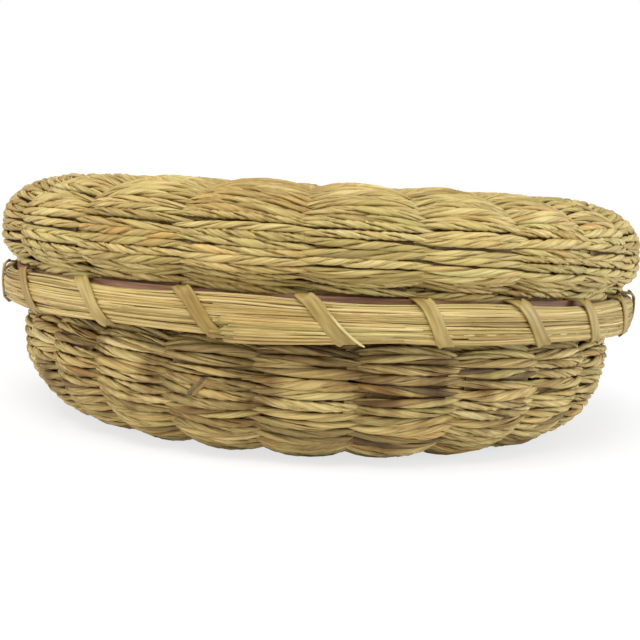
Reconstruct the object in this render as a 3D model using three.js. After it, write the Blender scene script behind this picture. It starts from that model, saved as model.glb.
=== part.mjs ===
// A round basket with a lift-off lid. Thin ash splints cross at the middle of the floor and of the lid
// and turn up or down at both ends as stakes. Grass weft lies outside and inside the stakes, drawn in
// at every gap between them. Two splint hoops hold the stake ends at each rim, a bundle of straight
// grass runs round the lid's rim, and one flat strip lashes each rim through the stake gaps.
import * as THREE from "three";

// Driving sizes in millimetres.
const rimRadius = 100; // outside of the lashing on the lid's rim
const lidSwell = 0.5; // how far the lid's woven side stands out past its rim
const tuckDepth = 4.2; // how far the basket's side stands out below the lid
const turnWidth = 19.4; // across the round turn from floor to side
const footWidth = 12; // flat ring of the floor that the basket stands on
const floorKick = 2.6; // height of the middle of the floor above that ring
const turnHeight = 24; // where the side stands upright
const bellyHeight = 3; // upright stretch above the turn
const tuckHeight = 5.5; // stretch where the side steps in to pass inside the lid
const lidTuckHeight = 5.5; // stretch where the lid's side steps out above its rim
const lidWallHeight = 5.6; // upright stretch above that
const shoulderWidth = 23; // outside of the lid's round shoulder, across
const shoulderRise = 13.2; // and its height
const lidCrown = 1.4; // rise of the middle of the lid
const splintThickness = 0.8;
const weftThickness = 2.4; // one layer of weft
const rowPitch = 5.2; // two strands of weft
const rowRelief = 1.1; // hollow between two strands
const grooveWeft = 0.6; // weft left at the bottom of a groove
const edgeWeft = 1.3; // weft left in its last row at a rim
const hubHole = 9.8; // radius at which the weft starts
const hubRadius = 16; // outside this all splints lie at one level
const hubThickness = 0.22; // splints shaved thin where they cross
const hubGap = 0.12; // between two crossing splints
const hubWeft = 1.2; // thickness of the first row of weft
const hoopThickness = 1;
const hoopHeight = 8; // hoops of the basket's rim
const hoopRise = 0.6; // part of the lid's hoops that stands above the grass bundle
const bundleHeight = 11.1;
const bundleDepth = 3.6;
const lashWidth = 4; // measured along the rim
const lashThickness = 0.5;
const lashPlay = 0.4; // each side of the lashing in a stake gap
const lidPlay = 0.5; // between the lid's mouth and the basket
const clearance = 0.3; // between touching pieces

// Counts, and angles in degrees. A stake gap wanders from its even place by a few degrees, as hand
// work does, and alike at both ends of a splint.
const basketStakes = { count: 24, start: 8.45, wander: 3.3, wanderStart: 11 };
const lidStakes = { count: 22, start: -5.5, wander: 3.6, wanderStart: 2 };
const lashSlant = 0.36; // share of a bay that a wrap leans on the outside
const hoopSides = 32;
const bundleSides = 8;
const wrapSteps = 5; // of a wrap over the bundle
const turnSteps = 3; // of the round turn of a side

const lidGrass = new THREE.MeshStandardMaterial({ color: 0xb79a5c, roughness: 0.85, metalness: 0 });
const basketGrass = new THREE.MeshStandardMaterial({ color: 0x99834f, roughness: 0.88, metalness: 0 });
const bundleGrass = new THREE.MeshStandardMaterial({ color: 0xc9a864, roughness: 0.8, metalness: 0 });
const ash = new THREE.MeshStandardMaterial({ color: 0xb8935c, roughness: 0.7, metalness: 0 });
const brownAsh = new THREE.MeshStandardMaterial({ color: 0x7d4a2a, roughness: 0.7, metalness: 0 });
const lashAsh = new THREE.MeshStandardMaterial({ color: 0x9c8748, roughness: 0.65, metalness: 0 });

// Layers counted outward from the middle of a splint.
const nearLayer = splintThickness / 2 + clearance;
const farLayer = nearLayer + weftThickness;
const lashReach = clearance + lashThickness / 2;
const hoopChord = Math.cos(Math.PI / hoopSides);

// The lid's rim, from its outside inward.
const bundleCentre = rimRadius - lashThickness - clearance - bundleDepth / 2;
const lidHoopOuter = bundleCentre - bundleDepth / 2 - clearance;
const lidHoopInner = lidHoopOuter - hoopThickness;
const lidRimStake = lidHoopInner * hoopChord - nearLayer;
const lidBays = baysOf(lidStakes, lidRimStake);
const lidInnerHoopOuter = lidRimStake * stakeChord(lidBays) - nearLayer;
const lidInnerHoopInner = lidInnerHoopOuter - hoopThickness;
const lidLashInner = lidInnerHoopInner * hoopChord - lashReach;
const lidMouth = (lidLashInner - lashThickness / 2) * bayChord(lidBays);

// The basket's side, from the lid's mouth outward and then in along the floor.
const collarStake = lidMouth - lidPlay - farLayer;
const basketBays = baysOf(basketStakes, collarStake);
const bellyStake = collarStake + tuckDepth;
const floorRadius = bellyStake - turnWidth;
const kickRadius = floorRadius - footWidth;
const floorLevel = farLayer;
const floorHub = floorKick + hubWeft + hubReach(basketStakes);
const tuckStart = turnHeight + bellyHeight;
const tuckEnd = tuckStart + tuckHeight;

// The lid's heights: its rim hangs just above the tuck of the basket's side.
const wrapTurn = Math.PI / wrapSteps;
const wrapDepth = (bundleDepth / 2 + lashReach) / Math.cos(wrapTurn / 2);
const wrapHeight = (bundleHeight / 2 + lashReach) / Math.cos(wrapTurn / 2);
const rimMiddle = tuckEnd + lashReach + wrapHeight;
const lidHoopTop = rimMiddle + bundleHeight / 2 + hoopRise;
const lidHoopBottom = rimMiddle - bundleHeight / 2;
const lidWeftStart = lidHoopTop + lashThickness + 2 * clearance;
const lidTuckEnd = lidWeftStart + lidTuckHeight;
const shoulderHeight = lidTuckEnd + lidWallHeight;
const lidSideStake = rimRadius + lidSwell - farLayer;
const shoulderSpan = shoulderWidth - farLayer;
const shoulderCentre = lidSideStake - shoulderSpan;
const lidLevel = shoulderHeight + shoulderRise - farLayer;
const lidHub = lidLevel + lidCrown;
const shoulder = new THREE.EllipseCurve(
  shoulderCentre, shoulderHeight, shoulderSpan, lidLevel - shoulderHeight, 0, Math.PI / 2,
);

// The basket's rim: the inside of the lid's shoulder sits on its outer edge.
const basketHoopInner = (collarStake + nearLayer) / hoopChord;
const basketHoopOuter = basketHoopInner + hoopThickness;
const basketInnerHoopOuter = collarStake * stakeChord(basketBays) - nearLayer;
const basketInnerHoopInner = basketInnerHoopOuter - hoopThickness;
const basketRimOuter = basketHoopOuter + lashThickness + clearance;
const basketHeight = ceilingAt(basketRimOuter / bayChord(lidBays)) - clearance;
const basketHoopTop = basketHeight - lashThickness - clearance;
const basketHoopBottom = basketHoopTop - hoopHeight;
const basketWeftTop = basketHoopBottom - lashThickness - 2 * clearance;

// Angle of a gap between two stakes, from the front toward the right.
function gapAngle({ count, start, wander, wanderStart }, index) {
  const phase = (4 * Math.PI * (index + wanderStart)) / count;
  return THREE.MathUtils.degToRad(start + (360 / count) * index + wander * Math.sin(phase));
}

// A bay runs from gap to gap, with one stake in it.
function baysOf(stakes, stakeRadius) {
  const halfGap = Math.asin((lashWidth / 2 + lashPlay) / stakeRadius);
  return Array.from({ length: stakes.count }, (_, index) => {
    const from = gapAngle(stakes, index);
    const to = gapAngle(stakes, index + 1);
    return { from, to, middle: (from + to) / 2, halfStake: (to - from) / 2 - halfGap };
  });
}

// Stakes and weft are flat across, so their middles lie inside the circle of their edges.
function stakeChord(bays) {
  return Math.min(...bays.map(({ halfStake }) => Math.cos(halfStake)));
}

function bayChord(bays) {
  return Math.min(...bays.map(({ from, to }) => Math.cos((to - from) / 4)));
}

// How far a flat panel of weft, with its edges in the gaps, stands off to clear the flat stakes.
function panelRise(bays) {
  const ratios = bays.map(({ from, to, halfStake }) => Math.cos(halfStake) / Math.cos((to - from) / 2));
  return Math.max(...ratios) - 1;
}

function at(radius, angle, height) {
  return new THREE.Vector3(radius * Math.sin(angle), -radius * Math.cos(angle), height);
}

// A place on the course of a splint: its radius, its height and the direction away from the room.
function placeOn(curve, share) {
  const point = curve.getPointAt(share);
  const tangent = curve.getTangentAt(share);
  return { radius: point.x, height: point.y, out: new THREE.Vector2(tangent.y, -tangent.x) };
}

function placesAlong(curve, steps) {
  return Array.from({ length: steps + 1 }, (_, step) => placeOn(curve, step / steps));
}

function chain(...lists) {
  return lists.flatMap((list, number) => (number ? list.slice(1) : list));
}

function pushed(place, reach) {
  return { radius: place.radius + place.out.x * reach, height: place.height + place.out.y * reach };
}

// Height of the inside of the lid's shoulder at a radius.
function ceilingAt(radius) {
  const face = placesAlong(shoulder, turnSteps).map((place) => pushed(place, -farLayer));
  const found = face.findIndex((point) => point.radius < radius);
  const above = face.at(found);
  const below = face[Math.max(0, face.indexOf(above) - 1)];
  const share = THREE.MathUtils.clamp((below.radius - radius) / (below.radius - above.radius || 1), 0, 1);
  return THREE.MathUtils.lerp(below.height, above.height, share);
}

function geometryOf(points, faces) {
  let volume = 0;
  for (let n = 0; n < faces.length; n += 3) {
    const [a, b, c] = faces.slice(n, n + 3).map((index) => points[index]);
    volume += a.dot(new THREE.Vector3().crossVectors(b, c));
  }
  const geometry = new THREE.BufferGeometry().setFromPoints(points);
  return geometry.setIndex(volume > 0 ? faces : faces.toReversed());
}

// A closed solid through a loop of rings. A band between rings of unlike counts is filled bay by bay.
function solidOfRings(rings, bayCount) {
  const starts = rings.map((_, number) => rings.slice(0, number).flat().length);
  const pointOf = (ring, step) => starts[ring] + (step % rings[ring].length);
  const faces = [];
  rings.forEach((ring, number) => {
    const next = (number + 1) % rings.length;
    const steps = ring.length / bayCount;
    const nextSteps = rings[next].length / bayCount;
    for (let bay = 0; bay < bayCount; bay += 1) {
      let i = 0;
      let j = 0;
      while (i < steps || j < nextSteps) {
        const here = pointOf(number, bay * steps + i);
        const there = pointOf(next, bay * nextSteps + j);
        if (j === nextSteps || (i < steps && (i + 1) * nextSteps <= (j + 1) * steps)) {
          i += 1;
          faces.push(here, pointOf(number, bay * steps + i), there);
        } else {
          j += 1;
          faces.push(here, pointOf(next, bay * nextSteps + j), there);
        }
      }
    }
  });
  return geometryOf(rings.flat(), faces);
}

// A flat strip through four-cornered sections, closed at both ends.
function solidOfSections(sections) {
  const last = 4 * (sections.length - 1);
  const faces = [0, 2, 1, 0, 3, 2, last, last + 1, last + 2, last, last + 2, last + 3];
  for (let start = 0; start < last; start += 4) {
    for (let corner = 0; corner < 4; corner += 1) {
      const a = start + corner;
      const b = start + ((corner + 1) % 4);
      faces.push(a, b, b + 4, a, b + 4, a + 4);
    }
  }
  return geometryOf(sections.flat(), faces);
}

// One ring of weft, through the given shares of every bay, at a reach from the middle of the splints.
const gapOnly = [0];
const gapAndMiddle = [0, 1 / 2];
const gapAndThirds = [0, 1 / 3, 2 / 3];

function weftRing(bays, shares, place, reachOf) {
  return bays.flatMap(({ from, to }, number) =>
    shares.map((share) => {
      const { radius, height } = pushed(place, reachOf(share, number));
      return at(radius, THREE.MathUtils.lerp(from, to, share), height);
    }),
  );
}

function evenRing(bays, place, reach) {
  return weftRing(bays, gapOnly, place, () => reach);
}

function outerNear(bays, place) {
  return nearLayer + Math.max(0, place.out.x) * place.radius * panelRise(bays);
}

// Weft drawn in at the gaps and swelling over every stake, on either side of the splints.
function swellingRing(bays, place, side, swell) {
  const groove = (side > 0 ? outerNear(bays, place) : nearLayer) + grooveWeft;
  return weftRing(bays, gapAndMiddle, place, (share) => side * (share ? swell : groove));
}

// The twined face of a side: strands stand out in every other row, one row further in the next bay.
function strandRing(bays, place, row, isEdge) {
  const groove = outerNear(bays, place) + grooveWeft;
  return weftRing(bays, gapAndThirds, place, (share, number) => {
    if (!share) return groove;
    if (isEdge) return outerNear(bays, place) + edgeWeft;
    return farLayer - ((row + number) % 2) * rowRelief;
  });
}

function twinedSide(bays, rows, nearPlaces) {
  const last = rows.length - 1;
  const strands = rows.map((place, row) => strandRing(bays, place, row, row === 0 || row === last));
  const back = nearPlaces.map((place) => evenRing(bays, place, outerNear(bays, place)));
  return solidOfRings([...strands, ...back.reverse()], bays.length);
}

// Places one strand apart along a side.
function strandPlaces(curves) {
  const steps = (curve) => Math.max(1, Math.round((2 * curve.getLength()) / rowPitch));
  return chain(...curves.map((curve) => placesAlong(curve, steps(curve))));
}

// The hub, where the splints lie in a pile and the first row of weft starts.
function hubPile(stakes) {
  return ((stakes.count / 2 - 1) * (hubThickness + hubGap)) / 2;
}

function hubReach(stakes) {
  return hubPile(stakes) + hubThickness / 2 + clearance;
}

function hubPlace({ height, out }) {
  return { radius: hubHole, height, out };
}

// A splint runs from one rim across the hub, at its own level in the pile, to the opposite rim.
function splint(stakes, bays, outward, number) {
  const { middle, halfStake } = bays[number];
  const level = number * (hubThickness + hubGap) - hubPile(stakes);
  const waist = { radius: hubHole - clearance, height: outward[0].height + level, out: outward[0].out };
  const section = (place, thickness, turned) => {
    const corner = (face, edge) => {
      const { radius, height } = pushed(place, (face * thickness) / 2);
      return at(radius, middle + (turned ? Math.PI : 0) + edge * halfStake, height);
    };
    const left = turned ? 1 : -1;
    return [corner(-1, left), corner(1, left), corner(1, -left), corner(-1, -left)];
  };
  const half = (turned) => [
    section(waist, hubThickness, turned),
    ...outward.map((place) => section(place, splintThickness, turned)),
  ];
  return solidOfSections([...half(true).reverse(), ...half(false)]);
}

function splintsOf(stakes, bays, outward) {
  return Array.from({ length: stakes.count / 2 }, (_, number) => splint(stakes, bays, outward, number));
}

// Rings with a plain section.
function ringOf(outline) {
  return new THREE.LatheGeometry(outline, hoopSides).rotateX(Math.PI / 2);
}

function hoop(outer, bottom, top) {
  const inner = outer - hoopThickness;
  const corners = [[inner, bottom], [outer, bottom], [outer, top], [inner, top], [inner, bottom]];
  return ringOf(corners.map(([radius, height]) => new THREE.Vector2(radius, height)));
}

function grassBundle() {
  const section = new THREE.EllipseCurve(bundleCentre, rimMiddle, bundleDepth / 2, bundleHeight / 2);
  return ringOf(section.getPoints(bundleSides));
}

// One flat strip wound round a rim, a wrap to each bay. A stop of the wrap has its radius, its height,
// the direction of its outer face and the share of the bay that the strip has moved along the rim.
function lashing(bays, stops) {
  const sections = bays.flatMap(({ from, to }) =>
    stops.map(({ radius, height, out, share }) => {
      const lean = Math.asin(lashWidth / 2 / radius);
      const corner = (face, edge) => {
        const angle = THREE.MathUtils.lerp(from, to, share) + edge * lean;
        const reach = (face * lashThickness) / 2;
        return at(radius + out.x * reach, angle, height + out.y * reach);
      };
      return [corner(-1, -1), corner(1, -1), corner(1, 1), corner(-1, 1)];
    }),
  );
  return solidOfSections(sections);
}

function stop(radius, height, outX, outY, share) {
  return { radius, height, out: new THREE.Vector2(outX, outY), share };
}

// Out through the gap above the lid's hoops, slanting down over the bundle, and back up inside.
function lidWrap() {
  const top = lidHoopTop + lashReach;
  const bottom = rimMiddle - wrapHeight;
  const overBundle = Array.from({ length: wrapSteps - 1 }, (_, step) => {
    const x = Math.sin((step + 1) * wrapTurn);
    const y = Math.cos((step + 1) * wrapTurn);
    const out = new THREE.Vector2(x / wrapDepth, y / wrapHeight).normalize();
    const share = (lashSlant * (step + 1)) / wrapSteps;
    return stop(bundleCentre + wrapDepth * x, rimMiddle + wrapHeight * y, out.x, out.y, share);
  });
  return [
    stop(lidLashInner, top, -1, 1, 0),
    stop(bundleCentre, top, 0, 1, 0),
    ...overBundle,
    stop(bundleCentre, bottom, 0, -1, lashSlant),
    stop(lidLashInner, bottom, -1, -1, lashSlant),
  ];
}

// Out through the gap below the basket's hoops, slanting up outside, over the top and down inside.
function basketWrap() {
  const outside = basketHoopOuter + lashReach;
  const inside = basketInnerHoopInner * hoopChord - lashReach;
  const top = basketHoopTop + lashReach;
  const bottom = basketHoopBottom - lashReach;
  return [
    stop(inside, bottom, -1, -1, 0),
    stop(outside, bottom, 1, -1, 0),
    stop(outside, top, 1, 1, lashSlant),
    stop(inside, top, -1, 1, lashSlant),
  ];
}

function line(x1, y1, x2, y2) {
  return new THREE.LineCurve(new THREE.Vector2(x1, y1), new THREE.Vector2(x2, y2));
}

// A smooth step that starts and ends upright, or level.
function upwardStep(x1, y1, x2, y2) {
  const middle = (y1 + y2) / 2;
  const points = [[x1, y1], [x1, middle], [x2, middle], [x2, y2]];
  return new THREE.CubicBezierCurve(...points.map(([x, y]) => new THREE.Vector2(x, y)));
}

function levelStep(x1, y1, x2, y2) {
  const middle = (x1 + x2) / 2;
  const points = [[x1, y1], [middle, y1], [middle, y2], [x2, y2]];
  return new THREE.CubicBezierCurve(...points.map(([x, y]) => new THREE.Vector2(x, y)));
}

function basketPieces() {
  const bays = basketBays;
  const reach = hubReach(basketStakes);
  const turn = new THREE.EllipseCurve(
    floorRadius, turnHeight, turnWidth, turnHeight - floorLevel, -Math.PI / 2, 0,
  );
  const belly = line(bellyStake, turnHeight, bellyStake, tuckStart);
  const tuck = upwardStep(bellyStake, tuckStart, collarStake, tuckEnd);
  const collar = line(collarStake, tuckEnd, collarStake, basketWeftTop);
  const end = line(collarStake, basketWeftTop, collarStake, basketHoopTop);
  const rise = levelStep(hubRadius, floorHub, kickRadius, floorLevel);
  const level = line(kickRadius, floorLevel, floorRadius, floorLevel);

  const floor = chain(placesAlong(rise, 1), placesAlong(level, 1));
  const straights = [belly, tuck, collar].map((curve) => placesAlong(curve, 1));
  const side = chain(placesAlong(turn, turnSteps), ...straights);
  const sideStart = placeOn(turn, clearance / turn.getLength());
  const hub = hubPlace(floor[0]);
  const weft = chain(floor, side);
  const stake = chain(weft, placesAlong(end, 1));

  const under = solidOfRings(
    [
      evenRing(bays, hub, reach + hubWeft),
      ...floor.map((place) => evenRing(bays, place, farLayer)),
      ...floor.map((place) => evenRing(bays, place, nearLayer)).reverse(),
      evenRing(bays, hub, reach),
    ],
    bays.length,
  );
  const strands = chain([sideStart], strandPlaces([turn, belly, tuck]), placesAlong(collar, 1));
  const outside = twinedSide(bays, strands, [sideStart, ...side.slice(1)]);
  const inside = solidOfRings(
    [
      evenRing(bays, hub, -reach),
      ...weft.map((place) => evenRing(bays, place, -nearLayer)),
      swellingRing(bays, weft.at(-1), -1, nearLayer + edgeWeft),
      ...weft.slice(0, -1).map((place) => swellingRing(bays, place, -1, farLayer)).reverse(),
      evenRing(bays, hub, -reach - hubWeft),
    ],
    bays.length,
  );
  return { under, outside, inside, splints: splintsOf(basketStakes, bays, stake) };
}

function lidPieces() {
  const bays = lidBays;
  const reach = hubReach(lidStakes);
  const end = line(lidRimStake, lidHoopBottom, lidRimStake, lidWeftStart);
  const tuck = upwardStep(lidRimStake, lidWeftStart, lidSideStake, lidTuckEnd);
  const wall = line(lidSideStake, lidTuckEnd, lidSideStake, shoulderHeight);
  const crown = levelStep(shoulderCentre, lidLevel, hubRadius, lidHub);

  const side = chain(placesAlong(tuck, 1), placesAlong(wall, 1), placesAlong(shoulder, turnSteps));
  const sideEnd = placeOn(shoulder, 1 - clearance / shoulder.getLength());
  const top = placesAlong(crown, 2);
  const hub = hubPlace(top.at(-1));
  const weft = chain(side, top);
  const stake = chain(placesAlong(end, 1), weft).reverse();

  const over = solidOfRings(
    [
      ...top.map((place) => swellingRing(bays, place, 1, farLayer)),
      evenRing(bays, hub, reach + hubWeft),
      evenRing(bays, hub, reach),
      ...top.map((place) => evenRing(bays, place, nearLayer)).reverse(),
    ],
    bays.length,
  );
  const strands = [...strandPlaces([tuck, wall, shoulder]).slice(0, -1), sideEnd];
  const outside = twinedSide(bays, strands, [...side.slice(0, -1), sideEnd]);
  const inside = solidOfRings(
    [
      ...weft.map((place) => evenRing(bays, place, -nearLayer)),
      evenRing(bays, hub, -reach),
      evenRing(bays, hub, -reach - hubWeft),
      ...weft.slice(1).map((place) => swellingRing(bays, place, -1, farLayer)).reverse(),
      swellingRing(bays, weft[0], -1, nearLayer + edgeWeft),
    ],
    bays.length,
  );
  return { over, outside, inside, splints: splintsOf(lidStakes, bays, stake) };
}

function named(name, geometry, material) {
  const mesh = new THREE.Mesh(geometry, material);
  mesh.name = name;
  return mesh;
}

function numbered(name, geometries, material) {
  const label = (index) => `${name}_${String(index + 1).padStart(2, "0")}`;
  return geometries.map((geometry, index) => named(label(index), geometry, material));
}

const basketShapes = basketPieces();
const lidShapes = lidPieces();

const basket = new THREE.Group();
basket.add(
  ...numbered("basket_splint", basketShapes.splints, ash),
  named("basket_floor_weft", basketShapes.under, basketGrass),
  named("basket_side_weft", basketShapes.outside, basketGrass),
  named("basket_inside_weft", basketShapes.inside, basketGrass),
  named("basket_outer_hoop", hoop(basketHoopOuter, basketHoopBottom, basketHoopTop), ash),
  named("basket_inner_hoop", hoop(basketInnerHoopOuter, basketHoopBottom, basketHoopTop), ash),
  named("basket_rim_lashing", lashing(basketBays, basketWrap()), lashAsh),
);

const lid = new THREE.Group();
lid.add(
  ...numbered("lid_splint", lidShapes.splints, ash),
  named("lid_top_weft", lidShapes.over, lidGrass),
  named("lid_side_weft", lidShapes.outside, lidGrass),
  named("lid_inside_weft", lidShapes.inside, lidGrass),
  named("lid_outer_hoop", hoop(lidHoopOuter, lidHoopBottom, lidHoopTop), brownAsh),
  named("lid_inner_hoop", hoop(lidInnerHoopOuter, lidHoopBottom, lidHoopTop), ash),
  named("lid_rim_bundle", grassBundle(), bundleGrass),
  named("lid_rim_lashing", lashing(lidBays, lidWrap()), lashAsh),
);

const liddedBasket = new THREE.Group();
liddedBasket.add(basket, lid);
export default liddedBasket;
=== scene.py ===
import bisect
import math
import random

import bmesh
import bpy
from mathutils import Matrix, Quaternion, Vector


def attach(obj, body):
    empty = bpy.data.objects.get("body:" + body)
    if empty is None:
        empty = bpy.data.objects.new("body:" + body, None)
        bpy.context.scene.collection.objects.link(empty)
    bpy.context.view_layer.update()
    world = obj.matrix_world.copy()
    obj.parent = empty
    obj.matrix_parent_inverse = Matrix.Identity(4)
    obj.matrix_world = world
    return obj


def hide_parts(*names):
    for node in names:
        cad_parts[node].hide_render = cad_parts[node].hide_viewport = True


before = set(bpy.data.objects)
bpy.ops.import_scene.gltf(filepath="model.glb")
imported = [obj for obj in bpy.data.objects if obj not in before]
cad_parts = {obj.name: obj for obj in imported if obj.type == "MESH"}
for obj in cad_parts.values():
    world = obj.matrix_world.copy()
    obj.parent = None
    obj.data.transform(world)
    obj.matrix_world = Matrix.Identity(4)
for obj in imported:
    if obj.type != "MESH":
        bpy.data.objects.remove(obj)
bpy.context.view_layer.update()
scene = bpy.context.scene
mm = 0.001
mergeWithin = 1e-7  # metres
print("frame loaded,", len(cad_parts), "nodes")


# stakes: where the gaps between them lie, in degrees from the front toward the right
basketStakes = {"count": 24, "start": 8.45, "wander": 3.3, "wanderStart": 11.0}
lidStakes = {"count": 22, "start": -5.5, "wander": 3.6, "wanderStart": 2.0}


def gapAngle(stakes, index):
    phase = 4 * math.pi * (index + stakes["wanderStart"]) / stakes["count"]
    even = stakes["start"] + 360 / stakes["count"] * index
    return math.radians(even + stakes["wander"] * math.sin(phase))


# courses: the middle of the splints from floor to rim, and from rim to crown, as radius and height in mm
basketForm = {
    "hub": (16.0, 6.08), "kick": (58.28, 3.1), "foot": (70.28, 3.1),
    "turnCentre": (70.28, 24.0), "turnSize": (19.4, 20.9),
    "belly": (89.68, 27.0), "collar": (85.48, 32.5), "weftTop": (85.48, 52.35),
}
lidForm = {
    "firstRow": (93.15, 44.9), "weftStart": (93.15, 46.71), "wall": (97.4, 52.21),
    "shoulder": (97.4, 57.81), "shoulderCentre": (77.5, 57.81), "shoulderSize": (19.9, 10.1),
    "hub": (16.0, 69.31),
}
samePlace = 1e-6  # two points this near, in mm, are one


def along(a, b, steps=12):
    return [tuple(s + (e - s) * n / steps for s, e in zip(a, b)) for n in range(steps + 1)]


def quarterTurn(centre, size, start, steps=24):
    angles = [math.radians(start + 90 * n / steps) for n in range(steps + 1)]
    return [(centre[0] + size[0] * math.cos(a), centre[1] + size[1] * math.sin(a)) for a in angles]


def softStep(a, b, upright, steps=16):
    middle = [(a[0], (a[1] + b[1]) / 2), (b[0], (a[1] + b[1]) / 2)]
    if not upright:
        middle = [((a[0] + b[0]) / 2, a[1]), ((a[0] + b[0]) / 2, b[1])]
    corners = [a, *middle, b]
    points = []
    for n in range(steps + 1):
        t = n / steps
        share = [(1 - t) ** 3, 3 * t * (1 - t) ** 2, 3 * t * t * (1 - t), t ** 3]
        points.append(tuple(sum(s * c[axis] for s, c in zip(share, corners)) for axis in (0, 1)))
    return points


# a course pushed off the splints: distances along it, and radius, height and outward angle at each
def courseOf(lists, push):
    points = [lists[0][0]]
    for part in lists:
        points += [p for p in part if math.dist(p, points[-1]) > samePlace]
    places, distances = [], []
    for n, (radius, height) in enumerate(points):
        before, after = points[max(n - 1, 0)], points[min(n + 1, len(points) - 1)]
        angle = math.atan2(-(after[0] - before[0]), after[1] - before[1])
        places.append((radius + push * math.cos(angle), height + push * math.sin(angle), angle))
    for n, place in enumerate(places):
        distances.append(distances[-1] + math.dist(place[:2], places[n - 1][:2]) if n else 0.0)
    return distances, places


def courseAt(course, distance):
    distances, places = course
    n = min(max(bisect.bisect_right(distances, distance), 1), len(distances) - 1)
    t = (distance - distances[n - 1]) / (distances[n] - distances[n - 1])
    return [a + (b - a) * t for a, b in zip(places[n - 1], places[n])]


floorParts = [
    softStep(basketForm["hub"], basketForm["kick"], False),
    along(basketForm["kick"], basketForm["foot"]),
]
sideParts = [
    quarterTurn(basketForm["turnCentre"], basketForm["turnSize"], -90),
    along((basketForm["belly"][0], basketForm["turnCentre"][1]), basketForm["belly"]),
    softStep(basketForm["belly"], basketForm["collar"], True),
]
collarParts = [along(basketForm["collar"], basketForm["weftTop"])]
lidSideParts = [
    along(lidForm["firstRow"], lidForm["weftStart"]),
    softStep(lidForm["weftStart"], lidForm["wall"], True),
    along(lidForm["wall"], lidForm["shoulder"]),
    quarterTurn(lidForm["shoulderCentre"], lidForm["shoulderSize"], 0),
]
lidTop = (lidForm["shoulderCentre"][0], lidForm["shoulderCentre"][1] + lidForm["shoulderSize"][1])
lidTopParts = [softStep(lidTop, lidForm["hub"], False)]


# finishes
def srgb(code):
    values = [int(code[n:n + 2], 16) / 255 for n in (0, 2, 4)]
    return [v / 12.92 if v <= 0.04045 else ((v + 0.055) / 1.055) ** 2.4 for v in values] + [1.0]


def startMaterial(name, roughness, specular):
    material = bpy.data.materials.new(name)
    material.use_nodes = True
    shader = material.node_tree.nodes["Principled BSDF"]
    shader.inputs["Roughness"].default_value = roughness
    shader.inputs["Specular IOR Level"].default_value = specular
    return material, material.node_tree.nodes, material.node_tree.links, shader


def noiseOf(nodes, links, place, scale, detail):
    noise = nodes.new("ShaderNodeTexNoise")
    noise.inputs["Scale"].default_value = scale
    noise.inputs["Detail"].default_value = detail
    links.new(place, noise.inputs["Vector"])
    return noise.outputs["Fac"]


def rampOf(nodes, links, value, colours):
    ramp = nodes.new("ShaderNodeValToRGB")
    stops = ramp.color_ramp.elements
    while len(stops) < len(colours):
        stops.new(0.5)
    for n, (place, code) in enumerate(colours):
        stops[n].position = place
        stops[n].color = srgb(code)
    links.new(value, ramp.inputs["Fac"])
    return ramp.outputs["Color"]


# one colour darkened by another
def stainOf(nodes, links, share, under, over):
    mix = nodes.new("ShaderNodeMix")
    mix.data_type = "RGBA"
    mix.blend_type = "MULTIPLY"
    sockets = {i.name: i for i in mix.inputs if i.type == ("VALUE" if i.name == "Factor" else "RGBA")}
    sockets["Factor"].default_value = share
    links.new(under, sockets["A"])
    links.new(over, sockets["B"])
    return next(o for o in mix.outputs if o.type == "RGBA")


def bumpOf(nodes, links, shader, height, look):
    bump = nodes.new("ShaderNodeBump")
    bump.inputs["Strength"].default_value = look["bump"]
    bump.inputs["Distance"].default_value = look["bumpDistance"]
    links.new(height, bump.inputs["Height"])
    links.new(bump.outputs["Normal"], shader.inputs["Normal"])


# grass: one tone per blade, streaks along it, stained patches over the whole weave
def grassMaterial(name, look):
    material, nodes, links, shader = startMaterial(name, look["roughness"], look["specular"])
    tone = nodes.new("ShaderNodeAttribute")
    tone.attribute_name = "bladeTone"
    hue = nodes.new("ShaderNodeAttribute")
    hue.attribute_name = "bladeHue"
    tones = rampOf(nodes, links, tone.outputs["Fac"], look["tones"])
    hues = rampOf(nodes, links, hue.outputs["Fac"], look["hues"])
    colour = stainOf(nodes, links, look["hueShare"], tones, hues)

    place = nodes.new("ShaderNodeTexCoord")
    patch = noiseOf(nodes, links, place.outputs["Object"], look["patchScale"], look["patchDetail"])
    patches = rampOf(nodes, links, patch, look["patches"])
    colour = stainOf(nodes, links, look["patchShare"], colour, patches)

    split = nodes.new("ShaderNodeSeparateXYZ")
    links.new(place.outputs["UV"], split.inputs["Vector"])
    stretch = nodes.new("ShaderNodeCombineXYZ")
    for axis, scale in (("X", look["streaksAlong"]), ("Y", look["streaksAcross"])):
        times = nodes.new("ShaderNodeMath")
        times.operation = "MULTIPLY"
        links.new(split.outputs[axis], times.inputs[0])
        times.inputs[1].default_value = scale
        links.new(times.outputs[0], stretch.inputs[axis])
    apart = nodes.new("ShaderNodeMath")  # blades of another tone have other streaks
    apart.operation = "MULTIPLY_ADD"
    apart.inputs[1].default_value = look["streaksApart"]
    links.new(tone.outputs["Fac"], apart.inputs[0])
    links.new(hue.outputs["Fac"], apart.inputs[2])
    links.new(apart.outputs[0], stretch.inputs["Z"])
    streak = noiseOf(nodes, links, stretch.outputs["Vector"], 1.0, look["streakDetail"])
    streaks = rampOf(nodes, links, streak, look["streaks"])
    colour = stainOf(nodes, links, look["streakShare"], colour, streaks)
    links.new(colour, shader.inputs["Base Color"])
    bumpOf(nodes, links, shader, streak, look)
    return material


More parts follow.
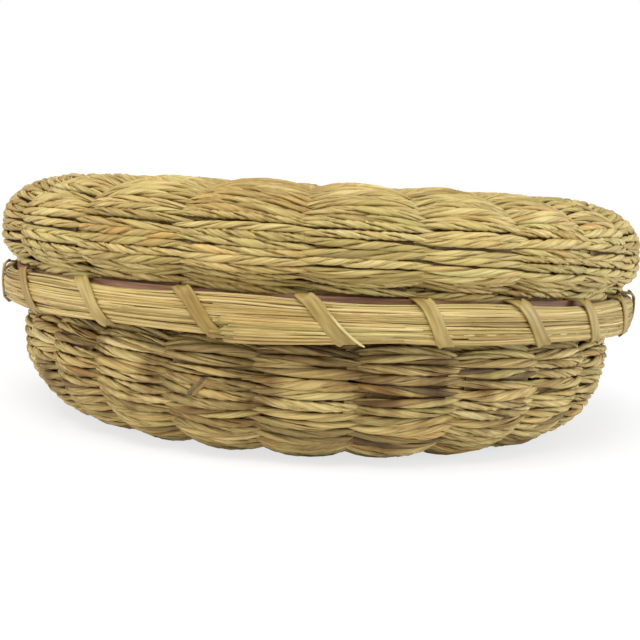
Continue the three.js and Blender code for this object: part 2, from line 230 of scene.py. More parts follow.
grassLook = {
    "roughness": 0.5, "specular": 0.42, "bump": 0.7, "bumpDistance": 0.0003,
    "tones": [(0.0, "8a723f"), (0.25, "aa9053"), (0.5, "c2a96a"), (0.75, "d3bd82"), (1.0, "e6d6a8")],
    "hues": [(0.0, "f8e4be"), (0.35, "f8faf0"), (0.7, "ecfae4"), (1.0, "e6eae8")], "hueShare": 0.8,
    "patches": [(0.3, "d9c8a4"), (0.55, "ffffff")], "patchShare": 0.6, "patchScale": 30.0, "patchDetail": 3,
    "streaks": [(0.28, "94794c"), (0.58, "ffffff")], "streakShare": 0.65, "streakDetail": 2,
    "streaksAcross": 12.0, "streaksAlong": 3.0, "streaksApart": 37.0,
}
lidGrass = grassMaterial("lidGrass", grassLook)
basketGrass = grassMaterial("basketGrass", {
    **grassLook, "roughness": 0.66, "specular": 0.24,
    "tones": [(0.0, "725c40"), (0.25, "9c8255"), (0.5, "c4aa70"), (0.75, "d6bd84"), (1.0, "e4d09e")],
    "patches": [(0.3, "a28c78"), (0.5, "ffffff")], "patchShare": 0.85, "patchScale": 75.0,
})
rimGrass = grassMaterial("rimGrass", {
    **grassLook, "roughness": 0.55,
    "tones": [(0.0, "8e7442"), (0.3, "ae9254"), (0.6, "c4aa6c"), (1.0, "d4be88")],
    "streaksAcross": 7.0, "streaksAlong": 5.0, "streakShare": 0.5,
})


# splint: fine grain along a hoop, a strip or a stake
def splintMaterial(name, look):
    material, nodes, links, shader = startMaterial(name, look["roughness"], look["specular"])
    place = nodes.new("ShaderNodeTexCoord")
    stretch = nodes.new("ShaderNodeMapping")
    stretch.inputs["Scale"].default_value = look["grainScale"]
    links.new(place.outputs[look["coordinates"]], stretch.inputs["Vector"])
    grain = noiseOf(nodes, links, stretch.outputs["Vector"], 1.0, look["grainDetail"])
    grains = rampOf(nodes, links, grain, look["grain"])
    patch = noiseOf(nodes, links, place.outputs["Object"], look["patchScale"], look["patchDetail"])
    patches = rampOf(nodes, links, patch, look["patches"])
    colour = stainOf(nodes, links, look["patchShare"], grains, patches)
    links.new(colour, shader.inputs["Base Color"])
    bumpOf(nodes, links, shader, grain, look)
    return material


splintLook = {
    "roughness": 0.5, "specular": 0.35, "bump": 0.35, "bumpDistance": 0.0002,
    "coordinates": "UV", "grainScale": (4.0, 0.12, 1.0), "grainDetail": 4,
    "grain": [(0.3, "86703c"), (0.5, "9c854b"), (0.7, "ae985a")],
    "patches": [(0.35, "d8c9a8"), (0.6, "ffffff")], "patchShare": 0.8, "patchScale": 60.0, "patchDetail": 2,
}
lashSplint = splintMaterial("lashSplint", splintLook)
brownSplint = splintMaterial("brownSplint", {
    **splintLook, "roughness": 0.6, "coordinates": "Object", "grainScale": (90.0, 90.0, 1400.0),
    "grain": [(0.3, "6e4a34"), (0.5, "8e654a"), (0.7, "a37c60")],
})
paleSplint = splintMaterial("paleSplint", {
    **splintLook, "roughness": 0.6, "coordinates": "Object", "grainScale": (300.0, 300.0, 900.0),
    "grain": [(0.3, "94713f"), (0.5, "b08d56"), (0.7, "c4a46c")],
})
# stakes: a darker grain, painted shade for the gaps between the strands where the stakes show
shadedStakeSplint = splintMaterial("shadedStakeSplint", {
    **splintLook, "roughness": 0.7, "coordinates": "Object", "grainScale": (300.0, 300.0, 900.0),
    "grain": [(0.3, "6a512e"), (0.5, "7c6038"), (0.7, "8c6e42")],
})
print("finishes ready")


def addPiece(name, mesh, material, body, node):
    mesh.polygons.foreach_set("use_smooth", [True] * len(mesh.polygons))
    mesh.materials.append(material)
    piece = bpy.data.objects.new(name, mesh)
    scene.collection.objects.link(piece)
    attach(piece, body)
    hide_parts(node)
    return piece


# blades: curves with a flat lens for a section, made into one mesh with a tone for every blade
toneSteps = 16
hueSpread = 0.14
bladeProfiles = {}


def bladeProfile(flatness):
    if flatness not in bladeProfiles:
        data = bpy.data.curves.new("bladeProfile", "CURVE")
        data.dimensions = "2D"
        data.fill_mode = "NONE"
        line = data.splines.new("POLY")
        corners = [(0, 1), (-flatness, 0.5), (-flatness, -0.5), (0, -1), (flatness, -0.5), (flatness, 0.5)]
        line.points.add(len(corners) - 1)
        line.use_cyclic_u = True
        for point, (x, y) in zip(line.points, corners):
            point.co = (x * mm, y * mm, 0, 1)
        bladeProfiles[flatness] = bpy.data.objects.new("bladeProfile", data)
        scene.collection.objects.link(bladeProfiles[flatness])
    return bladeProfiles[flatness]


def toneCode(tone, hue):
    return round(tone * (toneSteps - 1)) + toneSteps * round(hue * (toneSteps - 1))


def toneOf(rng, mean, spread, hueMean):
    tone = min(max(rng.gauss(mean, spread), 0.0), 1.0)
    hue = min(max(rng.gauss(hueMean, hueSpread), 0.0), 1.0)
    return toneCode(tone, hue)


def newBlade(tone):
    return {"co": [], "tilt": [], "width": [], "tone": tone}


def addPoint(blade, radius, angle, height, tilt, width):
    blade["co"] += [radius * math.sin(angle) * mm, -radius * math.cos(angle) * mm, height * mm, 1]
    blade["tilt"].append(tilt)
    blade["width"].append(width)


def bladesToPiece(name, blades, flatness, material, body, node):
    data = bpy.data.curves.new(name + "Paths", "CURVE")
    data.dimensions = "3D"
    data.twist_mode = "Z_UP"
    data.bevel_mode = "OBJECT"
    data.bevel_object = bladeProfile(flatness)
    data.use_fill_caps = True
    for _ in range(toneSteps * toneSteps):
        data.materials.append(None)  # one empty slot per tone, to tell the blades apart
    for blade in blades:
        line = data.splines.new("POLY")
        line.points.add(len(blade["tilt"]) - 1)
        line.points.foreach_set("co", blade["co"])
        line.points.foreach_set("tilt", blade["tilt"])
        line.points.foreach_set("radius", blade["width"])
        line.material_index = blade["tone"]
    paths = bpy.data.objects.new(name + "Paths", data)
    scene.collection.objects.link(paths)
    mesh = bpy.data.meshes.new_from_object(paths.evaluated_get(bpy.context.evaluated_depsgraph_get()))
    bpy.data.objects.remove(paths)
    tones = [0] * len(mesh.polygons)
    mesh.polygons.foreach_get("material_index", tones)
    tone = mesh.attributes.new("bladeTone", "FLOAT", "FACE")
    tone.data.foreach_set("value", [(n % toneSteps) / (toneSteps - 1) for n in tones])
    hue = mesh.attributes.new("bladeHue", "FLOAT", "FACE")
    hue.data.foreach_set("value", [(n // toneSteps) / (toneSteps - 1) for n in tones])
    mesh.polygons.foreach_set("material_index", [0] * len(tones))
    mesh.materials.clear()
    shape = bmesh.new()
    shape.from_mesh(mesh)
    bmesh.ops.remove_doubles(shape, verts=shape.verts, dist=mergeWithin)
    shape.to_mesh(mesh)
    shape.free()
    mesh.name = name
    addPiece(name, mesh, material, body, node)
    print(name, len(blades), "blades,", sum(len(f.vertices) - 2 for f in mesh.polygons), "triangles")


# stains and painted shade: how much darker the grass is near a given angle and height
def stainAndShadeAt(stainsAndShade, angle, height):
    depth = 0.0
    for spot in stainsAndShade:
        turn = math.remainder(angle - math.radians(spot["angle"]), 2 * math.pi) / math.radians(spot["wide"])
        depth += spot["depth"] * math.exp(-turn ** 2 - ((height - spot["height"]) / spot["high"]) ** 2)
    return depth


# one strand over one stake, from gap to gap: twisted plies of blades, their ends sunk among the next bay's
def strand(blades, rng, course, distance, stakes, bay, look, side):
    around, level, _ = courseAt(course, distance)
    start = gapAngle(stakes, bay) - look["overrun"] / around
    end = gapAngle(stakes, bay + 1) + look["overrun"] / around
    length = around * (end - start)
    steps = max(look["fewestSteps"], round(length / look["step"]))
    fullness = min(1.0, length / look["fullLength"])
    turns = length / look["turnEvery"] * rng.uniform(*look["turnRange"])
    turns *= 1 if rng.random() < look["rising"] else -1
    firstTurn = rng.uniform(-1, 1) * look["freeTurn"]
    size = rng.uniform(*look["sizeRange"])
    slant = rng.gauss(look["slant"], look["slantSpread"]) * look["pitch"]
    middle = distance + rng.gauss(0, look["unrest"])
    mean = rng.gauss(look["tone"], look["strandSpread"]) - stainAndShadeAt(look["stainsAndShade"], (start + end) / 2, level)
    for ply in range(look["plies"]):
        plyMean = rng.gauss(mean, look["plySpread"])
        for apart, breadth, reach in look["leaves"]:
            phase = firstTurn + 2 * math.pi * ply / look["plies"] + apart
            phase += rng.gauss(0, look["phaseSpread"])
            width = look["bladeWidth"] * breadth * size * rng.uniform(*look["widthRange"])
            across, deep = look["across"] * reach * size, look["deep"] * reach * size
            blade = newBlade(toneOf(rng, plyMean, look["bladeSpread"], look["hue"]))
            for n in range(steps + 1):
                t = n / steps
                t = (t + 0.5 - 0.5 * math.cos(math.pi * t)) / 2  # closer steps toward the ends
                swell = 1 - abs(2 * t - 1) ** look["pinch"]
                gather = look["endGather"] + (1 - look["endGather"]) * swell
                radius, height, out = courseAt(course, middle + slant * (t - 0.5))
                turn = phase + 2 * math.pi * turns * t
                sunk = fullness * (look["sink"] * (1 - swell) + look["bow"] * (2 * t - 1) ** 2)
                lift = side * (look["bulge"] - sunk) + deep * gather * math.cos(turn)
                rise = across * gather * math.sin(turn)
                radius += math.cos(out) * lift - math.sin(out) * rise
                height += math.sin(out) * lift + math.cos(out) * rise
                tilt = -out - math.atan2(math.sin(turn) / across, math.cos(turn) / deep)
                taper = look["endWidth"] + (1 - look["endWidth"]) * swell
                addPoint(blade, radius, start + (end - start) * t, height, tilt, width * taper)
            blades.append(blade)


# rows of strands, half a row higher in every other bay, with a loose leaf across some
def weave(seed, course, first, last, stakes, look, side):
    rng = random.Random(seed)
    rows = max(1, round((last - first) / look["pitch"]))
    look = {**look, "pitch": (last - first) / rows}
    lowBulge, highBulge = look["bulge"]
    blades = []
    for row in range(rows):
        rowLook = {**look, "bulge": lowBulge + (highBulge - lowBulge) * (row + 0.5) / rows}
        for bay in range(stakes["count"]):
            distance = first + (row + 0.25 + 0.5 * ((bay + look["raised"]) % 2)) * look["pitch"]
            strand(blades, rng, course, distance, stakes, bay, rowLook, side)
            if rng.random() < look["loose"]:
                strand(blades, rng, course, distance, stakes, bay, {**rowLook, **looseLeaf}, side)
    return blades


# a leaf is its place in the twist, its breadth and its reach from the strand's middle
lidWeave = {
    "pitch": 2.15, "plies": 2, "leaves": [(0.0, 1.0, 1.0)], "turnEvery": 19.0, "turnRange": (0.7, 1.4),
    "rising": 0.4, "freeTurn": math.pi, "phaseSpread": 0.15, "across": 0.58, "deep": 0.46,
    "bladeWidth": 0.95, "widthRange": (0.85, 1.15), "sizeRange": (0.86, 1.16), "flatness": 0.52,
    "overrun": 2.8, "sink": 0.9, "bow": 0.75, "bulge": (0.0, 0.0), "pinch": 2.6, "endGather": 0.15,
    "endWidth": 0.35, "slant": -0.25, "slantSpread": 0.26, "unrest": 0.2, "raised": 1, "loose": 0.15,
    "step": 1.75, "fewestSteps": 5, "fullLength": 14.0, "stainsAndShade": [],
    "tone": 0.49, "strandSpread": 0.05, "plySpread": 0.09, "bladeSpread": 0.07, "hue": 0.38,
}
shoulderWeave = {
    **lidWeave, "pitch": 2.7, "across": 0.72, "deep": 0.55, "bladeWidth": 1.15, "bow": 1.65,
    "slant": -0.15, "turnEvery": 27.0, "bulge": (0.0, 0.7),
}
topWeave = {**shoulderWeave, "bulge": (0.7, 0.0)}
basketWeave = {
    **lidWeave, "pitch": 2.85, "leaves": [(-0.2, 0.95, 1.0), (0.5, 0.55, 1.06), (1.0, 0.38, 1.1)],
    "turnEvery": 31.0, "rising": 0.35, "across": 0.75, "deep": 0.6, "bladeWidth": 1.08,
    "overrun": 3.0, "sink": 1.1, "bow": 1.35, "slantSpread": 0.21, "unrest": 0.13, "raised": 0,
    "loose": 0.1, "step": 2.4,
    "tone": 0.5, "strandSpread": 0.09, "plySpread": 0.1, "bladeSpread": 0.1, "hue": 0.36,
    "stainsAndShade": [
        # painted shade under the lid's rim at the front; the next five spots are stains
        {"angle": -3, "height": 30.5, "wide": 8, "high": 2.5, "depth": 0.4},
        {"angle": 6, "height": 18, "wide": 3.5, "high": 3, "depth": 0.22},
        {"angle": 10, "height": 23, "wide": 4, "high": 2.2, "depth": 0.22},
        {"angle": 22.5, "height": 19.5, "wide": 3, "high": 2.2, "depth": 0.22},
        {"angle": -30, "height": 22, "wide": 4, "high": 2, "depth": 0.2},
        {"angle": -20, "height": 19.5, "wide": 4, "high": 2.2, "depth": 0.2},
        # darker low at the front
        {"angle": -4, "height": 7, "wide": 12, "high": 3, "depth": 0.2},
    ],
}
floorWeave = {**basketWeave, "leaves": [(0.0, 1.0, 1.0)]}
collarWeave = {**floorWeave, "deep": 0.45, "bladeWidth": 1.0}
insideWeave = {
    "leaves": [(0.0, 1.1, 1.0)], "flatness": 0.5, "step": 3.8, "fewestSteps": 4, "loose": 0.0, "stainsAndShade": [],
}
lidInside, basketInside = {**lidWeave, **insideWeave}, {**basketWeave, **insideWeave}
looseLeaf = {
    "plies": 1, "leaves": [(0.0, 0.55, 1.0)], "across": 0.1, "deep": 0.62, "turnEvery": 150.0,
    "freeTurn": 0.3, "overrun": 0.0, "slantSpread": 0.9,
}
weftReach = 1.85  # from the middle of the splints to the middle of the strands
hubReach, topReach = 2.0, 7.0  # how near the axis the strands come inside, and on the lid's top
lidFirstRow, lidInsideFirstRow = -0.5, 0.2  # where the lid's rows start, outside and inside
outerTopShare = 0.4  # how much of the lid's top the outer piece takes

basketParts = floorParts + sideParts + collarParts
lidParts = lidSideParts + lidTopParts
basketHub = along((hubReach, basketForm["hub"][1]), basketForm["hub"])
lidHub = along(lidForm["hub"], (hubReach, lidForm["hub"][1]))
lidCentre = along(lidForm["hub"], (topReach, lidForm["hub"][1]))
basketLine = courseOf(basketParts, weftReach)
basketBack = courseOf([basketHub] + basketParts, -weftReach)
lidLine = courseOf(lidParts + [lidCentre], weftReach)
lidBack = courseOf(lidParts + [lidHub], -weftReach)
footEnd = courseOf(floorParts, weftReach)[0][-1]
sideEnd = courseOf(floorParts + sideParts, weftReach)[0][-1]
sideMiddle = (footEnd + sideEnd) / 2
collarEnd = basketLine[0][-1]
basketBackEnd = basketBack[0][-1]
shoulderEnd = courseOf(lidSideParts, weftReach)[0][-1]
shoulderStart = shoulderEnd / 2
lidEnd = lidLine[0][-1]
lidTopMiddle = shoulderEnd + (lidEnd - shoulderEnd) * outerTopShare
lidBackEnd = lidBack[0][-1]

# name, seed, course, where the rows start and end, look, outer or inner side, node that is replaced
lidWoven = [
    ("lidSideWeave", 11, lidLine, lidFirstRow, shoulderStart, lidWeave, 1, "lid_side_weft"),
    ("lidShoulderWeave", 12, lidLine, shoulderStart, shoulderEnd, shoulderWeave, 1, "lid_side_weft"),
    ("lidTopWeaveOuter", 13, lidLine, shoulderEnd, lidTopMiddle, topWeave, 1, "lid_top_weft"),
    ("lidTopWeaveInner", 14, lidLine, lidTopMiddle, lidEnd, lidWeave, 1, "lid_top_weft"),
    ("lidInsideWeave", 15, lidBack, lidInsideFirstRow, lidBackEnd, lidInside, -1, "lid_inside_weft"),
]
basketWoven = [
    ("basketLowerWeave", 21, basketLine, footEnd, sideMiddle, basketWeave, 1, "basket_side_weft"),
    ("basketUpperWeave", 26, basketLine, sideMiddle, sideEnd, basketWeave, 1, "basket_side_weft"),
    ("basketCollarWeave", 23, basketLine, sideEnd, collarEnd, collarWeave, 1, "basket_side_weft"),
    ("basketFloorWeave", 24, basketLine, 0, footEnd, floorWeave, 1, "basket_floor_weft"),
    ("basketInsideWeave", 28, basketBack, 0, basketBackEnd, basketInside, -1, "basket_inside_weft"),
]
for name, seed, course, first, last, look, side, node in lidWoven:
    blades = weave(seed, course, first, last, lidStakes, look, side)
    bladesToPiece(name, blades, look["flatness"], lidGrass, "lid", node)
for name, seed, course, first, last, look, side, node in basketWoven:
    blades = weave(seed, course, first, last, basketStakes, look, side)
    bladesToPiece(name, blades, look["flatness"], basketGrass, "basket", node)


# rim bundle: straight grass laid round the rim in an oval that stands higher in places, over a closed core
rimBundle = {
    "centre": 97.4, "middle": 38.5, "depth": 3.6, "height": 9.2, "roundness": 0.7,
    "rise": 0.95, "sag": 0.5, "riseEvery": 36.0, "riseAt": -12.0, "core": 0.72, "coreSides": 16,
    "strips": 560, "spacing": 0.381966, "inner": 0.78, "outer": 0.97, "unrest": 0.1, "drift": 0.1,
    "shortest": 60.0, "longest": 200.0, "step": 6.0, "narrow": 0.15, "wide": 0.38, "flatness": 0.55,
    "endWidth": 0.7, "wave": 0.05, "waveRange": (30, 90), "wavePhases": (0, 6),
    "tone": 0.62, "toneSpread": 0.26, "hue": 0.35,
}


def ovalAt(look, angle, scale, thick=0.0):
    across, up = math.cos(angle), math.sin(angle)
    swell = look["rise"] if up > 0 else -look["sag"]
    reach = math.copysign(abs(across) ** look["roundness"], across)
    radius = look["centre"] + scale * look["depth"] / 2 * reach
    height = look["middle"] + scale * look["height"] / 2 * up + thick * swell * up ** 2
    out = math.atan2(up / look["height"], across / look["depth"])
    return radius, height, out


def thickAt(look, angle):
    return 0.5 + 0.5 * math.cos(2 * math.pi * (math.degrees(angle) - look["riseAt"]) / look["riseEvery"])


def bundleBlades(seed, look):
    rng = random.Random(seed)
    blades = []
    for number in range(look["strips"]):
        length = rng.uniform(look["shortest"], look["longest"])
        start = rng.uniform(0, 2 * math.pi)
        section = 2 * math.pi * (number * look["spacing"]) + rng.gauss(0, look["unrest"])
        scale = look["inner"] + (look["outer"] - look["inner"]) * (number + 0.5) / look["strips"]
        drift = rng.gauss(0, look["drift"])
        width = rng.uniform(look["narrow"], look["wide"])
        waveEvery, wavePhase = rng.uniform(*look["waveRange"]), rng.uniform(*look["wavePhases"])
        steps = round(length / look["step"])
        blade = newBlade(toneOf(rng, look["tone"], look["toneSpread"], look["hue"]))
        for n in range(steps + 1):
            t = n / steps
            angle = start + t * length / look["centre"]
            wave = look["wave"] * math.sin(wavePhase + 2 * math.pi * t * length / waveEvery)
            turn = section + drift * (t - 0.5) + wave
            radius, height, out = ovalAt(look, turn, scale, thickAt(look, angle))
            taper = look["endWidth"] if n in (0, steps) else 1.0
            addPoint(blade, radius, angle, height, -out, width * taper)
        blades.append(blade)
    return blades


bladesToPiece("rimBundle", bundleBlades(31, rimBundle), rimBundle["flatness"], rimGrass,
              "lid", "lid_rim_bundle")


# splice: a sheaf that starts with cut ends beside a wrap and runs into the bundle
rimSplice = {
    "strips": 34, "startAt": -12.9, "startSpread": 0.9, "shortest": 16.0, "longest": 48.0, "step": 4.0,
    "lowest": -82.0, "highest": -4.0, "unrest": 3.0, "flush": 1.0, "proud": 1.24, "sunk": 0.9,
    "narrow": 0.26, "wide": 0.52, "flatness": 0.6, "tone": 0.48, "toneSpread": 0.26, "hue": 0.35,
}


def spliceBlades(seed, look):
    rng = random.Random(seed)
    blades = []
    for number in range(look["strips"]):
        length = rng.uniform(look["shortest"], look["longest"])
        start = math.radians(rng.gauss(look["startAt"], look["startSpread"]))
        section = look["lowest"] + (look["highest"] - look["lowest"]) * (number + 0.5) / look["strips"]
        section = math.radians(section + rng.gauss(0, look["unrest"]))
        width = rng.uniform(look["narrow"], look["wide"])
        proud = rng.uniform(look["flush"], look["proud"])
        steps = round(length / look["step"])
        blade = newBlade(toneOf(rng, look["tone"], look["toneSpread"], look["hue"]))
        for n in range(steps + 1):
            t = n / steps
            angle = start + t * length / rimBundle["centre"]
            scale = proud + (look["sunk"] - proud) * t ** 2
            radius, height, out = ovalAt(rimBundle, section, scale, thickAt(rimBundle, angle))
            addPoint(blade, radius, angle, height, -out, width)
        blades.append(blade)
    return blades


bladesToPiece("rimSplice", spliceBlades(32, rimSplice), rimSplice["flatness"], rimGrass,
              "lid", "lid_rim_bundle")


# loose ends: a fibre split off the front wrap, and a dark broken end among the basket's strands
rimFibre = {
    "from": (1.3, 41.2), "to": (6.5, 33.2), "radius": 100.1, "width": 0.34, "bow": -0.8,
    "tone": 0.85, "hue": 0.4, "flatness": 0.4,
}
brokenEnd = {
    "from": (-19.7, 17.4), "to": (-17.0, 21.9), "radius": 92.3, "width": 0.75, "bow": 0.2,
    "tone": 0.05, "hue": 0.9, "flatness": 0.5,
}
brokenEdge = {
    "from": (-18.9, 17.6), "to": (-16.5, 21.7), "radius": 92.1, "width": 0.7, "bow": 0.1,
    "tone": 0.3, "hue": 0.1,
}


def looseEnd(look, steps=8, tip=0.5):
    blade = newBlade(toneCode(look["tone"], look["hue"]))
    (startAngle, startHeight), (endAngle, endHeight) = look["from"], look["to"]
    for n in range(steps + 1):
        t = n / steps
        angle = math.radians(startAngle + (endAngle - startAngle) * t)
        height = startHeight + (endHeight - startHeight) * t + look["bow"] * (1 - (2 * t - 1) ** 2)
        taper = tip if n in (0, steps) else 1.0
        addPoint(blade, look["radius"], angle, height, 0.0, look["width"] * taper)
    return blade


bladesToPiece("rimFibre", [looseEnd(rimFibre)], rimFibre["flatness"], rimGrass,
              "lid", "lid_rim_bundle")
bladesToPiece("brokenEnd", [looseEnd(brokenEnd), looseEnd(brokenEdge)], brokenEnd["flatness"], basketGrass,
              "basket", "basket_side_weft")


# plain rings: a closed outline spun round the axis
def spunRing(name, outline, material, body, node, steps=128):
    shape = bmesh.new()
    corners = [shape.verts.new((r * mm, 0, z * mm)) for r, z in outline]
    edges = [shape.edges.new((a, b)) for a, b in zip(corners, corners[1:] + corners[:1])]
    bmesh.ops.spin(shape, geom=corners + edges, cent=(0, 0, 0), axis=(0, 0, 1), angle=2 * math.pi,
                   steps=steps, use_merge=True)
    bmesh.ops.remove_doubles(shape, verts=shape.verts, dist=mergeWithin)
    bmesh.ops.recalc_face_normals(shape, faces=shape.faces)
    mesh = bpy.data.meshes.new(name)
    shape.to_mesh(mesh)
    shape.free()
    addPiece(name, mesh, material, body, node)


def bundleCore(look):
    turns = [2 * math.pi * n / look["coreSides"] for n in range(look["coreSides"])]
    return [ovalAt(look, turn, look["core"])[:2] for turn in turns]


lidOuterHoop = {"outer": 95.3, "bottom": 33.9, "top": 44.4}
lidInnerHoop = {"outer": 91.55, "bottom": 33.9, "top": 45.6}
basketOuterHoop = {"outer": 87.6, "bottom": 53.45, "top": 61.45}
basketInnerHoop = {"outer": 84.2, "bottom": 53.45, "top": 61.45}


def hoopOutline(look, thickness=1.0, edge=0.3):
    outer, bottom, top = look["outer"], look["bottom"], look["top"]
    inner = outer - thickness
    return [(inner, bottom + edge), (inner + edge, bottom), (outer - edge, bottom), (outer, bottom + edge),
            (outer, top - edge), (outer - edge, top), (inner + edge, top), (inner, top - edge)]


spunRing("rimBundleCore", bundleCore(rimBundle), rimGrass, "lid", "lid_rim_bundle")
spunRing("lidOuterHoop", hoopOutline(lidOuterHoop), brownSplint, "lid", "lid_outer_hoop")
spunRing("lidInnerHoop", hoopOutline(lidInnerHoop), paleSplint, "lid", "lid_inner_hoop")
spunRing("basketOuterHoop", hoopOutline(basketOuterHoop), paleSplint, "basket", "basket_outer_hoop")
spunRing("basketInnerHoop", hoopOutline(basketInnerHoop), paleSplint, "basket", "basket_inner_hoop")
print("hoops spun")


# lashing: one flat strip wound round a rim, a slanting wrap to every bay
lashStrip = {
    "width": 3.7, "thickness": 0.5, "slant": 0.36, "softEdge": 0.15, "edgeSteps": 2, "edgeAngle": 50,
}
lidLashing = {
    **lashStrip, "leans": [1.12, 0.78, 1.2, 1.0, 0.85, 1.15, 1.05, 0.9, 1.1, 1.0, 1.05],
    "inside": 89.65, "overHoops": 93.0, "top": 44.8, "bottom": 33.2, "corner": 0.5,
    "depth": 4.5, "play": 0.1, "frontReach": 80, "steps": 16, "insideSteps": 5,
}
basketLashing = {
    **lashStrip, "leans": [1.0], "inside": 82.4, "outside": 88.1, "top": 62.0, "bottom": 52.9,
}
# ways that the strip faces
faceOutUp, faceUp, faceInUp, faceIn = (math.radians(turn) for turn in (45, 90, 135, 180))


# how far along its bay a stop lies: the front leans with the wrap, the inside runs on to the next bay
def wrapShare(share, look, lean):
    front = min(share, look["slant"]) * lean
    back = max(share - look["slant"], 0) / (1 - look["slant"])
    return front + (1 - front) * back


# the stops of one wrap: radius, height, the way that the strip faces, and share of the bay
def lidWrap(look):
    inside, overHoops, slant = look["inside"], look["overHoops"], look["slant"]
    high, low = look["top"] - look["corner"], look["bottom"] + look["corner"]
    front = {**rimBundle, "depth": look["depth"], "height": look["top"] - look["bottom"] - look["play"],
             "middle": (look["top"] + look["bottom"]) / 2}
    stops = [(inside, high, faceInUp, 0.0), (overHoops, look["top"], faceUp, 0.0)]
    for n in range(look["steps"] + 1):
        t = n / look["steps"]
        radius, height, out = ovalAt(front, math.radians(look["frontReach"] * (1 - 2 * t)), 1.0)
        stops.append((radius, height, out, slant * t))
    stops += [(overHoops, look["bottom"], -faceUp, slant), (inside, low, -faceInUp, slant)]
    for n in range(1, look["insideSteps"]):
        t = n / look["insideSteps"]
        stops.append((inside, low + (high - low) * t, faceIn, slant + (1 - slant) * t))
    return stops


def basketWrap(look):
    inside, outside, slant = look["inside"], look["outside"], look["slant"]
    return [(inside, look["bottom"], -faceInUp, 0.0), (outside, look["bottom"], -faceOutUp, 0.0),
            (outside, look["top"], faceOutUp, slant), (inside, look["top"], faceInUp, slant)]


def ribbon(name, stops, stakes, look, body, node):
    centres = []
    for bay in range(stakes["count"]):
        start, end = gapAngle(stakes, bay), gapAngle(stakes, bay + 1)
        lean = look["leans"][bay % len(look["leans"])]
        for radius, height, out, share in stops:
            angle = start + (end - start) * wrapShare(share, look, lean)
            side = Vector((math.sin(angle), -math.cos(angle), 0))
            point = side * radius + Vector((0, 0, height))
            centres.append((point * mm, side * math.cos(out) + Vector((0, 0, math.sin(out)))))
    shape = bmesh.new()
    flat = shape.loops.layers.uv.new("UVMap")
    rails, distance, distances = [], 0.0, []
    count = len(centres)
    for n, (point, out) in enumerate(centres):
        ahead = centres[(n + 1) % count][0] - centres[n - 1][0]
        across = out.cross(ahead).normalized() * look["width"] / 2 * mm
        rails.append((shape.verts.new(point - across), shape.verts.new(point + across)))
        distances.append(distance)
        distance += (centres[(n + 1) % count][0] - point).length / mm
    for n in range(count):
        (a, b), (c, d) = rails[n], rails[(n + 1) % count]
        face = shape.faces.new((a, c, d, b))
        reach = distances[n + 1] if n + 1 < count else distance
        ends = [(0, distances[n]), (0, reach), (1, reach), (1, distances[n])]
        for loop, uv in zip(face.loops, ends):
            loop[flat].uv = uv
    shape.normal_update()
    bmesh.ops.solidify(shape, geom=shape.faces[:], thickness=look["thickness"] * mm)
    bmesh.ops.recalc_face_normals(shape, faces=shape.faces)
    mesh = bpy.data.meshes.new(name)
    shape.to_mesh(mesh)
    shape.free()
    piece = addPiece(name, mesh, lashSplint, body, node)
    bevel = piece.modifiers.new("softEdges", "BEVEL")
    bevel.width = look["softEdge"] * mm
    bevel.segments = look["edgeSteps"]
    bevel.limit_method = "ANGLE"
    bevel.angle_limit = math.radians(look["edgeAngle"])


ribbon("lidLashing", lidWrap(lidLashing), lidStakes, lidLashing, "lid", "lid_rim_lashing")
ribbon("basketLashing", basketWrap(basketLashing), basketStakes, basketLashing,
       "basket", "basket_rim_lashing")
print("rims lashed")

# the frame's splints take the darker stake finish, painted shade in the gaps
for name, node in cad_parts.items():
    if "splint" in name:
        node.data.materials.clear()
        node.data.materials.append(shadedStakeSplint)

for profile in bladeProfiles.values():
    bpy.data.objects.remove(profile)


# stage: pale floor that fades to white for the camera, soft light and the camera
stageLook = {
    "floorSize": 6.0, "floorColour": (0.86, 0.86, 0.86, 1), "floorRoughness": 0.9, "floorSpecular": 0.1,
    "floorFade": (0.16, 0.5, 0.72, 1.0), "worldLight": 0.64,
}

floorMesh = bpy.data.meshes.new("studioFloor")
shape = bmesh.new()
bmesh.ops.create_grid(shape, x_segments=1, y_segments=1, size=stageLook["floorSize"])
shape.to_mesh(floorMesh)
shape.free()
floor = bpy.data.objects.new("studioFloor", floorMesh)
scene.collection.objects.link(floor)
floorMaterial, nodes, links, shader = startMaterial(
    "studioFloor", stageLook["floorRoughness"], stageLook["floorSpecular"])
shader.inputs["Base Color"].default_value = stageLook["floorColour"]
path = nodes.new("ShaderNodeLightPath")
white = nodes.new("ShaderNodeEmission")
white.inputs["Strength"].default_value = 1.0
place = nodes.new("ShaderNodeTexCoord")
away = nodes.new("ShaderNodeVectorMath")
away.operation = "LENGTH"
links.new(place.outputs["Object"], away.inputs[0])
fade = nodes.new("ShaderNodeMapRange")
for socket, value in zip(("From Min", "From Max", "To Min", "To Max"), stageLook["floorFade"]):
    fade.inputs[socket].default_value = value
links.new(away.outputs["Value"], fade.inputs["Value"])
share = nodes.new("ShaderNodeMath")
share.operation = "MULTIPLY"
links.new(path.outputs["Is Camera Ray"], share.inputs[0])
links.new(fade.outputs["Result"], share.inputs[1])
blendFloor = nodes.new("ShaderNodeMixShader")
links.new(share.outputs[0], blendFloor.inputs["Fac"])
links.new(shader.outputs["BSDF"], blendFloor.inputs[1])
links.new(white.outputs["Emission"], blendFloor.inputs[2])
links.new(blendFloor.outputs["Shader"], nodes["Material Output"].inputs["Surface"])
floorMesh.materials.append(floorMaterial)

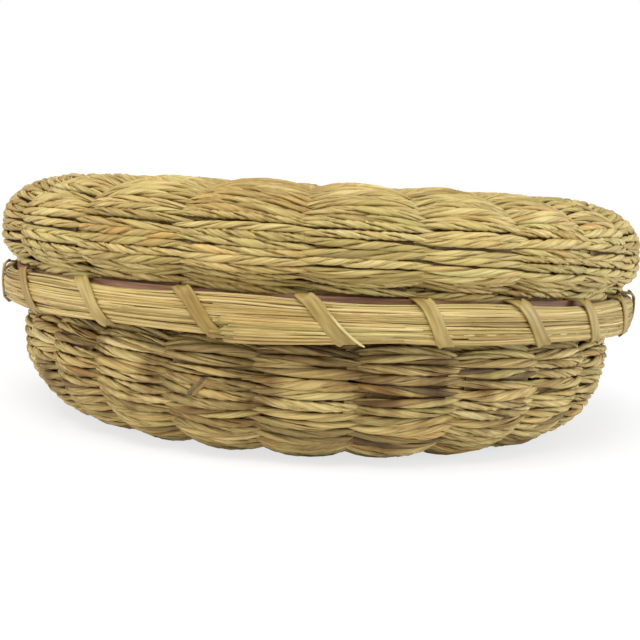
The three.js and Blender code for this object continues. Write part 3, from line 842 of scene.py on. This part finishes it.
world = bpy.data.worlds.new("studio")
world.use_nodes = True
scene.world = world
nodes, links = world.node_tree.nodes, world.node_tree.links
background = nodes["Background"]
background.inputs["Color"].default_value = (1, 1, 1, 1)
path = nodes.new("ShaderNodeLightPath")
strength = nodes.new("ShaderNodeMapRange")
strength.inputs["To Min"].default_value = stageLook["worldLight"]
strength.inputs["To Max"].default_value = 1.0
links.new(path.outputs["Is Camera Ray"], strength.inputs["Value"])
links.new(strength.outputs["Result"], background.inputs["Strength"])

lamps = {
    "keyLamp": {"place": (-0.15, -0.6, 1.0), "size": 0.6, "power": 10.0, "colour": (1, 1, 1)},
    "leftLamp": {"place": (-0.97, -0.25, 0.17), "size": 0.7, "power": 4.8, "colour": (1, 1, 1)},
    "rightLamp": {"place": (0.97, -0.25, 0.17), "size": 0.7, "power": 8.64, "colour": (0.8, 0.91, 1.0)},
}
lampTarget = (0, 0, 0.03)


def softLamp(name, look):
    lamp = bpy.data.lights.new(name, "AREA")
    lamp.shape = "DISK"
    lamp.size = look["size"]
    lamp.energy = look["power"]
    lamp.color = look["colour"]
    lampObject = bpy.data.objects.new(name, lamp)
    scene.collection.objects.link(lampObject)
    lampObject.location = look["place"]
    aim = Vector(lampTarget) - Vector(look["place"])
    lampObject.rotation_euler = aim.to_track_quat("-Z", "Y").to_euler()


for name, look in lamps.items():
    softLamp(name, look)

cameraLook = {
    "place": (0, -0.3362, 0.0642), "target": (0.0009, 0, 0.0285), "lens": 57.6, "sensor": 36, "roll": 2.95,
    "nearest": 0.01,
}
camera = bpy.data.cameras.new("camera")
camera.sensor_width = cameraLook["sensor"]
camera.lens = cameraLook["lens"]
camera.clip_start = cameraLook["nearest"]
cameraObject = bpy.data.objects.new("camera", camera)
scene.collection.objects.link(cameraObject)
cameraObject.location = cameraLook["place"]
aim = (Vector(cameraLook["target"]) - Vector(cameraLook["place"])).to_track_quat("-Z", "Y")
cameraObject.rotation_mode = "QUATERNION"
cameraObject.rotation_quaternion = aim @ Quaternion((0, 0, 1), math.radians(cameraLook["roll"]))
scene.camera = cameraObject
scene.view_settings.view_transform = "Standard"
print("stage set")
